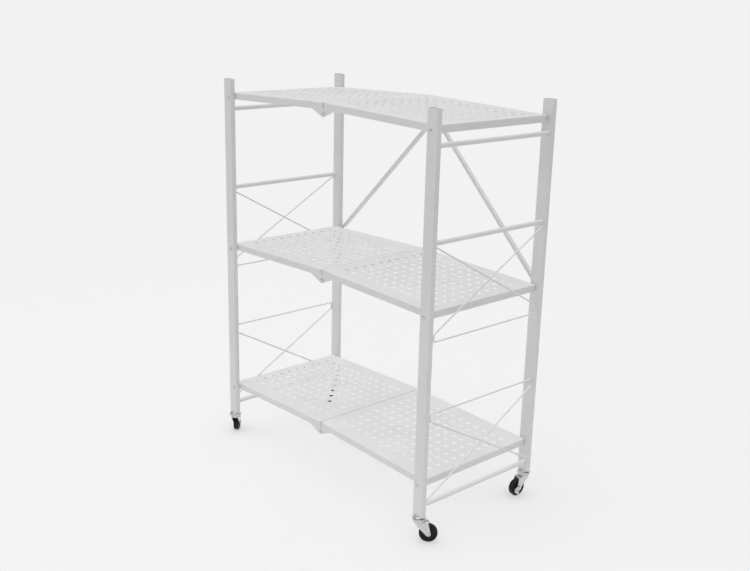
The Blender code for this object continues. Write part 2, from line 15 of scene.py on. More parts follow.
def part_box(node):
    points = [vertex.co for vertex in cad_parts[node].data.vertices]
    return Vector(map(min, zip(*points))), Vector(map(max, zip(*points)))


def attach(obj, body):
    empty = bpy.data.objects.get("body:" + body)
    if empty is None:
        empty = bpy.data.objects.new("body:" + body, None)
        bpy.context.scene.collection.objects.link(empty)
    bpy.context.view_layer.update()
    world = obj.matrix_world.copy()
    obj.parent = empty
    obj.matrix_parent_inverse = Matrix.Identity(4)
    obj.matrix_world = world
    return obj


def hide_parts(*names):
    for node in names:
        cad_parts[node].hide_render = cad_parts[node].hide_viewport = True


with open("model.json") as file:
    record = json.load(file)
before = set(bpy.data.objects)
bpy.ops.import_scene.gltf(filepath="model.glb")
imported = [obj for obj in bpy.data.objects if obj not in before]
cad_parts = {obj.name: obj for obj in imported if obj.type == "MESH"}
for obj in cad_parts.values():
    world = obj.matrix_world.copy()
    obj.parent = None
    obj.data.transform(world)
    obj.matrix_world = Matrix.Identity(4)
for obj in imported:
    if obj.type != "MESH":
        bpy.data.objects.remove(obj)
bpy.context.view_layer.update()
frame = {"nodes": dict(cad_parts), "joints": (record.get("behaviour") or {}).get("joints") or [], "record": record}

# What the frame says
SIDES = {"left": -1.0, "right": 1.0}
ENDS = {"front": -1.0, "rear": 1.0}
TIERS = ("bottom", "middle", "top")
JOINTS = {joint["name"]: joint for joint in frame["joints"]}
BODY = {}
for body_name, members in frame["record"]["behaviour"]["bodies"].items():
    for member in members:
        BODY[member] = body_name


def centre(node):
    low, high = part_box(node)
    return (low + high) / 2


def pivot(joint):
    return Vector(JOINTS[joint]["pos_m"])


MIDDLE_Y = pivot("shelf_fold").y
PIVOT_X = abs(pivot("shelf_fold").x)
PIVOT_Z = {tier: centre(f"rivet_front_left_{tier}").z for tier in TIERS}
PIN_Z = {tier: centre(f"middle_pin_front_{tier}").z for tier in TIERS}
POST_LOW, POST_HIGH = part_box("post_front_right")
POST_INNER_Y = MIDDLE_Y - POST_HIGH.y

# Shapes that the frame has no number for
GAP = 0.0003
POST_WALL = 0.0011
POST_CORNER = 0.0022
POST_EDGE = 0.0002
SHEET = 0.0007
BEND = 0.0016
PAN_CORNER = 0.0030
RIM = 0.015
SURFACE_ABOVE_PIVOT = 0.011
SURFACE_ABOVE_PIN = 0.024
SHELF_END_OVERHANG = 0.0062
MIDDLE_SEAM = 0.0007
EAR_RADIUS = 0.007
EAR_LENGTH = 0.036
EAR_OVERLAP = 0.004
PITCH = 0.025
HOLE_RADIUS = 0.005
HOLE_EDGE = 0.0004
HOLE_DIP = 0.00022
CELL_STEPS = 6
CORNER_STEPS = 6
HOLE_COLUMNS = 12
HOLE_ROWS = 10
FIRST_COLUMN = 0.0325
RIVET_RADIUS = 0.0026
RIVET_HEAD_RADIUS = 0.0044
RIVET_HEAD_HEIGHT = 0.0016
RIVET_TAIL_RADIUS = 0.0040
RIVET_TAIL_HEIGHT = 0.0012
DOME_RIM_ANGLE = 12
RAIL_RADIUS = 0.005
WIRE_RADIUS = 0.00175
WIRE_BEND = 0.006
WIRE_SET = 0.0009
WIRE_LOOP_HEIGHT = 0.015
WIRE_LOOP_CLEARANCE = 0.003
WIRE_STEP = 0.012
WELD_RADIUS = 0.00085
WELD_OFFSET = 0.0012

# Rear linkage
ROD_RADIUS = 0.0035
EYE_RADIUS = 0.007
HUB_RADIUS = 0.0065
HUB_TIP_RADIUS = 0.0047
HUB_TIP_LENGTH = 0.0105
HUB_PLATE = 0.0014
HUB_PLATE_CORNER = 0.0052
HUB_PLATE_HALF_HEIGHT = 0.0105
HUB_PIVOT_HALF_SPAN = 0.016
HUB_RIVET_RADIUS = 0.0019
HUB_HEAD_RADIUS = 0.0033
HUB_HEAD_HEIGHT = 0.0014
HUB_TAIL_RADIUS = 0.0032
HUB_TAIL_HEIGHT = 0.0009
BRACE_WIDTH = 0.007
BRACE_END_RADIUS = 0.005
BRACE_WEB = 0.0014
BRACE_FLANGE_SETBACK = 0.014
BRACE_FLANGE_SLANT = 0.004
BRACE_FLANGE_INSET = 0.0001
BRACE_END_OPENING = 50

# Casters
WHEEL_RADIUS = pivot("wheel_spin_front_left").z
FORK_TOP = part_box("caster_fork_front_left")[1].z
TRAIL = 0.020
AXLE_RADIUS = 0.0023
FORK_GAP = 0.0145
FORK_SHEET = 0.0014
FORK_DISC_RADIUS = 0.0125
FORK_DISC_DEPTH = 0.0045
FORK_FOOT_RADIUS = 0.0055
FORK_LEG_AHEAD = 0.0190
FORK_LEG_BEHIND = 0.0075
KINGPIN_RADIUS = 0.003
RACE_RADIUS = 0.0145
STEM_RADIUS = 0.004
BALLS = 16
BALL_RADIUS = 0.0011
BALL_RING_RADIUS = 0.0108
BALL_RISE = 0.0004
LEVER_SHEET = 0.0012
LEVER_REACH = 0.0145
LEVER_TAB = 0.012
LEVER_EYE_RADIUS = 0.0058
LEVER_ABOVE_AXLE = 0.0020
LEVER_BELOW_AXLE = 0.0060

# Stage
FLOOR_RADIUS = 6.0
FLOOR_SHADE = 0.87
FLOOR_FADE = (0.55, 2.2)
WORLD_LIGHT = 0.58
WORLD_SEEN = 0.888
# what a reflection sees: a height, from 0 straight down to 1 straight up, and the shade there
BANDS = ((0.62, 0.80), (0.67, 0.04), (0.82, 0.06), (0.90, 1.20))
ABOVE_POWER = 1.38
ABOVE_SPREAD = 40
ABOVE_SPOT = Vector((-0.2, -0.3, 3.0))
KEY_POWER = 6.0
KEY_SIZE = 1.8
KEY_SPOT = Vector((-2.2, -2.8, 2.4))
LIGHT_AIM = Vector((0, 0, 0.4))
AZIMUTH = 48.2
ELEVATION = 16.5
ROLL = 1.37
DISTANCE = 2.275
LENS = 47.7
AIM_HEIGHT = 0.440


# ---------------------------------------------------------------- materials
# How fine each texture is: the scale of its noise over metres
CLOUD = 9.0
PAINT_GLOSS = 60.0
ZINC_MOTTLE = 260.0
ZINC_STREAK = 300.0
ZINC_SCRATCH = 900.0
FLOW_MARK = 90.0
DULL_PATCH = 180.0
# Nearly all values of a noise lie between these two
NOISE_LOW = 0.3
NOISE_HIGH = 0.7


def new_material(name):
    material = bpy.data.materials.new(name)
    material.use_nodes = True
    nodes = material.node_tree.nodes
    return material, nodes, material.node_tree.links, nodes["Principled BSDF"]


def add_noise(nodes, links, scale, detail, stretch=(1.0, 1.0, 1.0)):
    """Noise over the piece's own coordinates, which are metres."""
    where = nodes.new("ShaderNodeTexCoord")
    mapping = nodes.new("ShaderNodeMapping")
    mapping.inputs["Scale"].default_value = stretch
    links.new(where.outputs["Object"], mapping.inputs["Vector"])
    texture = nodes.new("ShaderNodeTexNoise")
    texture.inputs["Scale"].default_value = scale
    texture.inputs["Detail"].default_value = detail
    links.new(mapping.outputs["Vector"], texture.inputs["Vector"])
    return texture


def add_range(nodes, links, source, low, high, start=NOISE_LOW, stop=NOISE_HIGH, kind="LINEAR"):
    """Spread what lies between start and stop, as a noise does, over another range."""
    spread = nodes.new("ShaderNodeMapRange")
    spread.interpolation_type = kind
    for socket, value in (("From Min", start), ("From Max", stop), ("To Min", low), ("To Max", high)):
        spread.inputs[socket].default_value = value
    links.new(source, spread.inputs["Value"])
    return spread.outputs["Result"]


def add_ramp(nodes, links, source, stops):
    ramp = nodes.new("ShaderNodeValToRGB")
    while len(ramp.color_ramp.elements) < len(stops):
        ramp.color_ramp.elements.new(0.5)
    for element, (place, colour) in zip(ramp.color_ramp.elements, stops):
        element.position = place
        element.color = (*colour, 1.0)
    links.new(source, ramp.inputs["Fac"])
    return ramp.outputs["Color"]


def add_bump(nodes, links, height, strength, distance, after=None):
    bump = nodes.new("ShaderNodeBump")
    bump.inputs["Strength"].default_value = strength
    bump.inputs["Distance"].default_value = distance
    links.new(height, bump.inputs["Height"])
    if after:
        links.new(after, bump.inputs["Normal"])
    return bump.outputs["Normal"]


def powder_coat(name, light, dark, roughness, grain):
    """Satin paint: faint clouding, fine orange peel, a slightly uneven gloss."""
    material, nodes, links, shader = new_material(name)
    cloud = add_noise(nodes, links, CLOUD, 4.0)
    colour = add_ramp(nodes, links, cloud.outputs["Fac"], [(0.35, dark), (0.65, light)])
    links.new(colour, shader.inputs["Base Color"])
    gloss = add_noise(nodes, links, PAINT_GLOSS, 3.0)
    gloss_range = add_range(nodes, links, gloss.outputs["Fac"], roughness - 0.05, roughness + 0.06)
    links.new(gloss_range, shader.inputs["Roughness"])
    peel = add_noise(nodes, links, grain, 2.0)
    wave = add_noise(nodes, links, grain * 0.28, 2.0)
    fine = add_bump(nodes, links, peel.outputs["Fac"], strength=0.16, distance=0.0002)
    both = add_bump(nodes, links, wave.outputs["Fac"], strength=0.10, distance=0.0004, after=fine)
    links.new(both, shader.inputs["Normal"])
    shader.inputs["Specular IOR Level"].default_value = 0.45
    return material


def zinc(name, light, dark, roughness):
    """Bright zinc plating: mottled spangle, fine rolling streaks, soft bloom."""
    material, nodes, links, shader = new_material(name)
    shader.inputs["Metallic"].default_value = 1.0
    mottle = add_noise(nodes, links, ZINC_MOTTLE, 3.0)
    colour = add_ramp(nodes, links, mottle.outputs["Fac"], [(0.32, dark), (0.68, light)])
    links.new(colour, shader.inputs["Base Color"])
    streak = add_noise(nodes, links, ZINC_STREAK, 3.0, stretch=(1.0, 1.0, 0.12))
    gloss_range = add_range(nodes, links, streak.outputs["Fac"], roughness - 0.06, roughness + 0.12)
    links.new(gloss_range, shader.inputs["Roughness"])
    scratch = add_noise(nodes, links, ZINC_SCRATCH, 2.0, stretch=(1.0, 1.0, 0.1))
    marks = add_bump(nodes, links, scratch.outputs["Fac"], strength=0.12, distance=0.0001)
    links.new(marks, shader.inputs["Normal"])
    return material


def moulded(name, light, dark, roughness, grain, specular):
    """Moulded plastic: faint flow marks, dulled patches and a fine matt grain."""
    material, nodes, links, shader = new_material(name)
    shader.inputs["Specular IOR Level"].default_value = specular
    flow = add_noise(nodes, links, FLOW_MARK, 4.0)
    colour = add_ramp(nodes, links, flow.outputs["Fac"], [(0.3, dark), (0.7, light)])
    links.new(colour, shader.inputs["Base Color"])
    dull = add_noise(nodes, links, DULL_PATCH, 4.0)
    gloss_range = add_range(nodes, links, dull.outputs["Fac"], roughness - 0.08, roughness + 0.10)
    links.new(gloss_range, shader.inputs["Roughness"])
    matt = add_noise(nodes, links, grain, 2.0)
    pits = add_bump(nodes, links, matt.outputs["Fac"], strength=0.2, distance=0.0001)
    links.new(pits, shader.inputs["Normal"])
    return material


def make_finishes():
    """The record's slots, each with its material and its own name."""
    made = {
        "white_paint": powder_coat(
            "white_powder_coat", light=(0.77, 0.77, 0.765), dark=(0.735, 0.735, 0.732),
            roughness=0.42, grain=1500.0,
        ),
        "zinc_steel": zinc(
            "zinc_plate", light=(0.74, 0.74, 0.75), dark=(0.56, 0.56, 0.57), roughness=0.26,
        ),
        "white_plastic": moulded(
            "white_plastic", light=(0.79, 0.79, 0.78), dark=(0.75, 0.75, 0.74),
            roughness=0.38, grain=2400.0, specular=0.45,
        ),
        "black_plastic": moulded(
            "black_plastic", light=(0.010, 0.010, 0.0105), dark=(0.005, 0.005, 0.0055),
            roughness=0.42, grain=2600.0, specular=0.22,
        ),
    }
    return {slot: (material, slot) for slot, material in made.items()}


FINISHES = make_finishes()


# ---------------------------------------------------------------- mesh helpers
ON_AXIS = 1e-7
SOFT_ANGLE = 40


def new_mesh(name, bm):
    """A mesh of closed shells, with every face turned outwards."""
    bmesh.ops.recalc_face_normals(bm, faces=bm.faces)
    mesh = bpy.data.meshes.new(name)
    bm.to_mesh(mesh)
    bm.free()
    return mesh


def new_object(name, mesh):
    made = bpy.data.objects.new(name, mesh)
    bpy.context.scene.collection.objects.link(made)
    return made


def add_piece(name, mesh, finish, node=None, body=None, sharp=32, bevel=0.0):
    """Make a piece of a mesh, give it its finish and let it ride on its body.

    A piece stands for a node and rides on that node's body, or it is an extra one on a named body.
    """
    material, slot = FINISHES[finish]
    mesh.materials.clear()
    mesh.materials.append(material)
    mesh.shade_smooth()
    mesh.set_sharp_from_angle(angle=math.radians(sharp))
    piece = new_object(name, mesh)
    if bevel:
        soft = piece.modifiers.new("soft_edges", "BEVEL")
        soft.width = bevel
        soft.segments = 2
        soft.limit_method = "ANGLE"
        soft.angle_limit = math.radians(SOFT_ANGLE)
    weighting = piece.modifiers.new("even_shading", "WEIGHTED_NORMAL")
    weighting.keep_sharp = True
    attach(piece, body or BODY[node])
    if node:
        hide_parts(node)


def ring(bm, points):
    return [bm.verts.new(point) for point in points]


def bridge(bm, low, high, closed=True):
    """Quads between two loops with as many points each."""
    count = len(low)
    for i in range(count if closed else count - 1):
        j = (i + 1) % count
        bm.faces.new((low[i], low[j], high[j], high[i]))


def arc(x, y, radius, start, stop, steps):
    """Points round a circle, angles in degrees, both ends included."""
    points = []
    for i in range(steps + 1):
        angle = math.radians(start + (stop - start) * i / steps)
        points.append((x + radius * math.cos(angle), y + radius * math.sin(angle)))
    return points


def add_turned(bm, profile, sides, place=Matrix()):
    """Turn a closed profile of (radius, height) points about the local Z axis, outer side upwards."""
    rings = []
    for radius, height in profile:
        if radius < ON_AXIS:
            rings.append([bm.verts.new(place @ Vector((0, 0, height)))])
            continue
        points = []
        for i in range(sides):
            angle = 2 * math.pi * i / sides
            points.append(place @ Vector((radius * math.cos(angle), radius * math.sin(angle), height)))
        rings.append(ring(bm, points))
    pairs = list(zip(rings, rings[1:]))
    if profile[0][0] > ON_AXIS:
        pairs.append((rings[-1], rings[0]))
    for low, high in pairs:
        for i in range(sides):
            j = (i + 1) % sides
            if len(low) == 1:
                bm.faces.new((low[0], high[j], high[i]))
            elif len(high) == 1:
                bm.faces.new((low[i], low[j], high[0]))
            else:
                bm.faces.new((low[i], low[j], high[j], high[i]))


def add_prism(bm, outline, low, high, place=Matrix()):
    """Close an outline of (x, y) points into a prism from z = low to z = high."""
    bottom = ring(bm, [place @ Vector((x, y, low)) for x, y in outline])
    top = ring(bm, [place @ Vector((x, y, high)) for x, y in outline])
    bm.faces.new(list(reversed(bottom)))
    bm.faces.new(top)
    bridge(bm, bottom, top)


def facing_y(x, y, z):
    """A frame at a point: its X to the right, its Y up, its Z to the front."""
    return Matrix.Translation((x, y, z)) @ Matrix.Rotation(math.radians(90), 4, "X")


def along(start, direction):
    """A frame at a point whose Z runs along a direction."""
    turn = Vector(direction).to_track_quat("Z", "Y").to_matrix().to_4x4()
    return Matrix.Translation(start) @ turn


def add_bar(bm, path, radius, sides, across):
    """A round bar along a path; across is a direction that is never along it."""
    rings = []
    last = len(path) - 1
    for i, point in enumerate(path):
        heading = (path[min(i + 1, last)] - path[max(i - 1, 0)]).normalized()
        outward = heading.cross(across).normalized()
        beside = outward.cross(heading)
        points = []
        for k in range(sides):
            angle = 2 * math.pi * k / sides
            points.append(point + radius * (beside * math.cos(angle) + outward * math.sin(angle)))
        rings.append(ring(bm, points))
    for low, high in zip(rings, rings[1:]):
        bridge(bm, high, low)
    bm.faces.new(rings[0])
    bm.faces.new(list(reversed(rings[-1])))


def round_path(corners, radius, steps=6):
    """Points along straight runs whose corners are rounded."""
    path = [corners[0]]
    for before, corner, after in zip(corners, corners[1:], corners[2:]):
        back = (before - corner).normalized()
        ahead = (after - corner).normalized()
        half = back.angle(ahead) / 2
        reach = radius / math.tan(half)
        hub = corner + (back + ahead).normalized() * (radius / math.sin(half))
        start = corner + back * reach - hub
        stop = corner + ahead * reach - hub
        turn = start.rotation_difference(stop)
        for i in range(steps + 1):
            part = Matrix.Rotation(turn.angle * i / steps, 3, turn.axis)
            path.append(hub + part @ start)
    path.append(corners[-1])
    return path


def add_weld(bm, spot, direction, radius, bead, ripples=15):
    """A ring of weld round a bar where it meets a post: one low ripple after another."""
    place = along(spot, direction)
    sides = 40
    tube = 8
    rings = []
    for i in range(sides):
        angle = 2 * math.pi * i / sides
        swell = bead * (1.0 + 0.16 * math.sin(ripples * angle) + 0.10 * math.sin(3 * angle + spot.x * 90))
        points = []
        for k in range(tube):
            turn = 2 * math.pi * k / tube
            reach = radius + swell * math.cos(turn)
            spread = (reach * math.cos(angle), reach * math.sin(angle), swell * math.sin(turn))
            points.append(place @ Vector(spread))
        rings.append(ring(bm, points))
    for i in range(sides):
        bridge(bm, rings[i - 1], rings[i])


# ---------------------------------------------------------------- solids by union and cut
def turned_object(profile, sides, place=Matrix()):
    bm = bmesh.new()
    add_turned(bm, profile, sides, place)
    return new_object("turned", new_mesh("turned", bm))


def prism_object(outline, low, high, place=Matrix()):
    bm = bmesh.new()
    add_prism(bm, outline, low, high, place)
    return new_object("prism", new_mesh("prism", bm))


def drill(x, y, z, radius, reach=0.4):
    """A cutter along Y through a point."""
    profile = [(0, -reach), (radius, -reach), (radius, reach), (0, reach)]
    return turned_object(profile, 24, facing_y(x, y, z))


def joined(name, shapes, cuts=()):
    """One closed mesh out of several that overlap, with others cut out of it."""
    base, rest = shapes[0], shapes[1:]
    for others, operation in ((rest, "UNION"), (cuts, "DIFFERENCE")):
        for other in others:
            step = base.modifiers.new(operation.lower(), "BOOLEAN")
            step.operation = operation
            step.object = other
    bpy.context.view_layer.update()
    graph = bpy.context.evaluated_depsgraph_get()
    result = bpy.data.meshes.new_from_object(base.evaluated_get(graph))
    result.name = name
    for other in list(shapes) + list(cuts):
        bpy.data.objects.remove(other)
    return result


def placed(mesh, matrix):
    """A copy of a mesh, moved to its place."""
    copy = mesh.copy()
    copy.transform(matrix)
    if matrix.determinant() < 0:
        copy.flip_normals()
    return copy


# ---------------------------------------------------------------- side frames
def rounded_rectangle(width, depth, corner, steps):
    points = []
    for sx, sy, start in ((1, 1, 0), (-1, 1, 90), (-1, -1, 180), (1, -1, 270)):
        points += arc(sx * (width / 2 - corner), sy * (depth / 2 - corner), corner, start, start + 90, steps)
    return points


def make_post(end, side):
    """A rectangular tube with rounded corners and slightly rounded, open ends."""
    node = f"post_{end}_{side}"
    low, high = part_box(node)
    middle = (low + high) / 2
    width, depth = high.x - low.x, high.y - low.y
    bm = bmesh.new()
    loops = []
    inset = POST_EDGE
    for shrink, z in (
        (POST_WALL, low.z + inset),
        (POST_WALL - inset, low.z),
        (inset, low.z),
        (0.0, low.z + inset),
        (0.0, high.z - inset),
        (inset, high.z),
        (POST_WALL - inset, high.z),
        (POST_WALL, high.z - inset),
    ):
        outline = rounded_rectangle(width - 2 * shrink, depth - 2 * shrink, POST_CORNER - shrink, 5)
        loops.append(ring(bm, [(middle.x + x, middle.y + y, z) for x, y in outline]))
    for lower, upper in zip(loops, loops[1:] + loops[:1]):
        bridge(bm, lower, upper)
    add_piece(f"{node}_tube", new_mesh(node, bm), "white_paint", node)


def make_rail(level, side):
    """A round bar between the two posts, with a ring of weld at both ends."""
    node = f"rail_{level}_{side}"
    spot = centre(node)
    reach = POST_INNER_Y
    bm = bmesh.new()
    path = [Vector((spot.x, MIDDLE_Y - reach, spot.z)), Vector((spot.x, MIDDLE_Y + reach, spot.z))]
    add_bar(bm, path, RAIL_RADIUS, 28, Vector((1, 0, 0)))
    for sign in (-1, 1):
        weld = Vector((spot.x, MIDDLE_Y + sign * (reach - WELD_RADIUS * 0.5), spot.z))
        add_weld(bm, weld, (0, -sign, 0), RAIL_RADIUS - WELD_RADIUS * 0.25, WELD_RADIUS)
    add_piece(f"{node}_bar", new_mesh(node, bm), "white_paint", node, sharp=50)


def make_wire_brace(level, side):
    """A wire bent into a level loop and two legs that are welded where they cross."""
    node = f"wire_brace_{level}_{side}"
    low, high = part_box(node)
    x = (low.x + high.x) / 2
    loop_low = level == "upper"
    loop = low.z + WIRE_RADIUS if loop_low else high.z - WIRE_RADIUS
    tip = high.z - WIRE_RADIUS if loop_low else low.z + WIRE_RADIUS
    up = 1.0 if loop_low else -1.0
    reach = POST_INNER_Y
    bend = reach - WIRE_LOOP_CLEARANCE
    foot = loop + up * WIRE_LOOP_HEIGHT
    lean = math.atan2(abs(tip - foot), reach + bend)
    end = reach - WIRE_RADIUS * math.sin(lean) * 0.5
    corners = [
        Vector((x, MIDDLE_Y - end, tip)),
        Vector((x, MIDDLE_Y + bend, foot)),
        Vector((x, MIDDLE_Y + bend, loop)),
        Vector((x, MIDDLE_Y - bend, loop)),
        Vector((x, MIDDLE_Y - bend, foot)),
        Vector((x, MIDDLE_Y + end, tip)),
    ]
    smooth = round_path(corners, WIRE_BEND)
    path = []
    for before, after in zip(smooth, smooth[1:]):
        pieces = max(1, int((after - before).length / WIRE_STEP))
        path += [before.lerp(after, i / pieces) for i in range(pieces)]
    path.append(smooth[-1])
    lengths = [0.0]
    for before, after in zip(path, path[1:]):
        lengths.append(lengths[-1] + (after - before).length)
    leg = (corners[1] - corners[0]).length
    for point, length in zip(path, lengths):
        from_end = min(length, lengths[-1] - length)
        if from_end < leg:
            sign = 1.0 if length < lengths[-1] / 2 else -1.0
            point.x += sign * WIRE_SET * math.sin(math.pi * from_end / leg)
    bm = bmesh.new()
    add_bar(bm, path, WIRE_RADIUS, 14, Vector((1, 0, 0)))
    for corner, ahead in ((corners[0], corners[1]), (corners[-1], corners[-2])):
        direction = (ahead - corner).normalized()
        spot = corner + direction * WELD_OFFSET
        add_weld(bm, spot, direction, WIRE_RADIUS * 0.85, WELD_RADIUS, ripples=9)
    add_piece(f"{node}_wire", new_mesh(node, bm), "white_paint", node, sharp=50)


# ---------------------------------------------------------------- shelves
def shelf_slope():
    """How far a half leans up towards the middle, from its pivot, its pin and its surface."""
    rise = SURFACE_ABOVE_PIN - SURFACE_ABOVE_PIVOT
    drop = PIVOT_Z["middle"] - PIN_Z["middle"]
    run = math.sqrt(PIVOT_X ** 2 + drop ** 2 - rise ** 2)
    return math.atan2(rise, run) - math.atan2(drop, PIVOT_X), run


def add_hole_cell(bm, u, v, top, welded):
    """A square of sheet round one punched hole, with a dipped, coated edge."""
    half = PITCH / 2
    square = []
    for i in range(4 * CELL_STEPS):
        side, step = divmod(i, CELL_STEPS)
        part = -1 + 2 * step / CELL_STEPS
        x, y = ((part, -1), (1, part), (-part, 1), (-1, -part))[side]
        square.append((u + x * half, v + y * half))
    loops = [[(x, y, top) for x, y in square]]
    for radius, dip in ((HOLE_RADIUS + HOLE_EDGE, 0.0), (HOLE_RADIUS, HOLE_DIP)):
        circle = []
        for x, y in square:
            angle = math.atan2(y - v, x - u)
            circle.append((u + radius * math.cos(angle), v + radius * math.sin(angle), top - dip))
        loops.append(circle)
    rings = []
    for points in loops:
        row = []
        for point in points:
            key = tuple(round(value, 6) for value in point)
            if key not in welded:
                welded[key] = bm.verts.new(point)
            row.append(welded[key])
        rings.append(row)
    for outer, inner in zip(rings, rings[1:]):
        bridge(bm, outer, inner)


def pan_edge(low_u, high_u, half, columns, rows):
    """The flat's own edge, side by side: each side's run, matched to the hole cells, and its corner.

    Every point comes with the way out from it.
    """
    corner = PAN_CORNER - BEND
    step = PITCH / CELL_STEPS
    edge = []
    sides = (
        ((high_u - corner, -half + corner), -90),
        ((high_u - corner, half - corner), 0),
        ((low_u + corner, half - corner), 90),
        ((low_u + corner, -half + corner), 180),
    )
    us = [columns[0] + step * i for i in range(int(round((columns[1] - columns[0]) / step)) + 1)]
    vs = [rows[0] + step * i for i in range(int(round((rows[1] - rows[0]) / step)) + 1)]
    runs = (
        [(u, -half, 0.0, -1.0) for u in us],
        [(high_u, v, 1.0, 0.0) for v in vs],
        [(u, half, 0.0, 1.0) for u in reversed(us)],
        [(low_u, v, -1.0, 0.0) for v in reversed(vs)],
    )
    for run, ((x, y), start) in zip(runs, sides):
        bend = []
        for i in range(CORNER_STEPS + 1):
            angle = math.radians(start + 90 * i / CORNER_STEPS)
            out = (math.cos(angle), math.sin(angle))
            bend.append((x + corner * out[0], y + corner * out[1], out[0], out[1]))
        edge.append((run, bend))
    return edge


def ear_outline(run, high, low, pin_u, pin_v):
    """The hinge ear below a rim: from the rim's low edge down round the pin and back."""
    start = run - EAR_LENGTH
    drop = low - pin_v
    lean = math.degrees(math.atan2(drop, pin_u - start))
    tangent = -90 - lean - math.degrees(math.asin(EAR_RADIUS / math.hypot(drop, pin_u - start)))
    outline = arc(pin_u, pin_v, EAR_RADIUS, 80, tangent, 18)
    return outline + [(start, low), (start + 0.002, high), (run - PAN_CORNER, high)]


def make_shelf_mesh(side):
    """Half a shelf in its own frame: X from the post pivot to the middle, Z square to the sheet."""
    low_corner, high_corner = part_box(f"shelf_middle_{side}")
    half = (high_corner.y - low_corner.y) / 2
    slope, pin_run = shelf_slope()
    top = SURFACE_ABOVE_PIVOT
    low = top - RIM
    run = (PIVOT_X - MIDDLE_SEAM / 2 + low * math.sin(slope)) / math.cos(slope)
    flat_low, flat_high, flat_half = BEND - SHELF_END_OVERHANG, run - BEND, half - BEND
    first = PIVOT_X - FIRST_COLUMN
    columns = (first - (HOLE_COLUMNS - 0.5) * PITCH, first + PITCH / 2)
    rows = (-HOLE_ROWS / 2 * PITCH, HOLE_ROWS / 2 * PITCH)
    bm = bmesh.new()
    welded = {}
    for i in range(HOLE_COLUMNS):
        for j in range(HOLE_ROWS):
            add_hole_cell(bm, first - i * PITCH, (j - (HOLE_ROWS - 1) / 2) * PITCH, top, welded)
    # the plain margin, and the loop where the bends start
    edge = pan_edge(flat_low, flat_high, flat_half, columns, rows)
    loop = []
    runs = []
    corners = []
    for run_points, corner_points in edge:
        for points, kept in ((run_points, runs), (corner_points, corners)):
            made = [(bm.verts.new((x, y, top)), ox, oy) for x, y, ox, oy in points]
            kept.append([vertex for vertex, ox, oy in made])
            loop += made
    inner = []
    for run_points, corner_points in edge:
        row = []
        for x, y, ox, oy in run_points:
            u = min(max(x, columns[0]), columns[1])
            v = min(max(y, rows[0]), rows[1])
            row.append(welded[tuple(round(value, 6) for value in (u, v, top))])
        inner.append(row)
    for outside, inside in zip(runs, inner):
        bridge(bm, outside, inside, closed=False)
    for i in range(4):
        after = (i + 1) % 4
        bm.faces.new([inner[i][-1], runs[i][-1]] + corners[i] + [runs[after][0]])
    # bends and rims
    rings = [[vertex for vertex, ox, oy in loop]]
    angles = [math.radians(18 * k) for k in range(1, 6)]
    section = [(BEND * math.sin(angle), BEND * (1 - math.cos(angle))) for angle in angles]
    for out, down in section + [(BEND, RIM)]:
        points = []
        for vertex, ox, oy in loop:
            points.append((vertex.co.x + ox * out, vertex.co.y + oy * out, top - down))
        rings.append(ring(bm, points))
    for upper, lower in zip(rings, rings[1:]):
        bridge(bm, lower, upper)
    mesh = bpy.data.meshes.new("pan")
    bm.to_mesh(mesh)
    bm.free()
    shelf = new_object("pan", mesh)
    thick = shelf.modifiers.new("sheet", "SOLIDIFY")
    thick.thickness = SHEET
    thick.offset = -1.0
    thick.use_even_offset = True
    # hinge ears, then the holes for the pivots and pins
    pin_v = SURFACE_ABOVE_PIVOT - SURFACE_ABOVE_PIN
    outline = ear_outline(run, low + EAR_OVERLAP, low, pin_run, pin_v)
    ears = bmesh.new()
    for sign in (-1, 1):
        near, far = sorted((sign * half, sign * (half - SHEET)))
        add_prism(ears, outline, -far, -near, facing_y(0, 0, 0))
    cuts = [drill(0.0, 0.0, 0.0, RIVET_RADIUS + GAP), drill(pin_run, 0.0, pin_v, RIVET_RADIUS + GAP)]
    shapes = [shelf, new_object("ears", new_mesh("ears", ears))]
    return joined(f"shelf_{side}", shapes, cuts), slope


def make_shelves():
    """The left and the right half at each tier, each leaning up to the middle."""
    for side, sign in SIDES.items():
        mesh, slope = make_shelf_mesh(side)
        turn = Matrix.Diagonal((-sign, 1.0, 1.0, 1.0)) @ Matrix.Rotation(-slope, 4, "Y")
        for tier in TIERS:
            node = f"shelf_{tier}_{side}"
            spot = Matrix.Translation((sign * PIVOT_X, MIDDLE_Y, PIVOT_Z[tier]))
            add_piece(f"{node}_sheet", placed(mesh, spot @ turn), "white_paint", node, sharp=30)


# ---------------------------------------------------------------- fasteners
def dome(radius, base, height, steps=6):
    """A low domed head as (radius, height) points, from its middle to its rim."""
    points = [(0.0, base + height)]
    for i in range(1, steps + 1):
        angle = math.radians(90 - (90 - DOME_RIM_ANGLE) * i / steps)
        reach = radius * math.cos(angle) / math.cos(math.radians(DOME_RIM_ANGLE))
        points.append((reach, base + height * math.sin(angle)))
    return points + [(radius, base + height * 0.1), (radius * 0.97, base)]


def rolled(radius, base, height):
    """A rolled-over rivet end as (radius, height) points, from its rim to its dimpled middle."""
    tip = base - height
    return [
        (radius * 0.96, base),
        (radius, base - height * 0.4),
        (radius * 0.85, tip + height * 0.1),
        (radius * 0.5, tip),
        (radius * 0.3, tip + height * 0.35),
        (0.0, tip + height * 0.4),
    ]


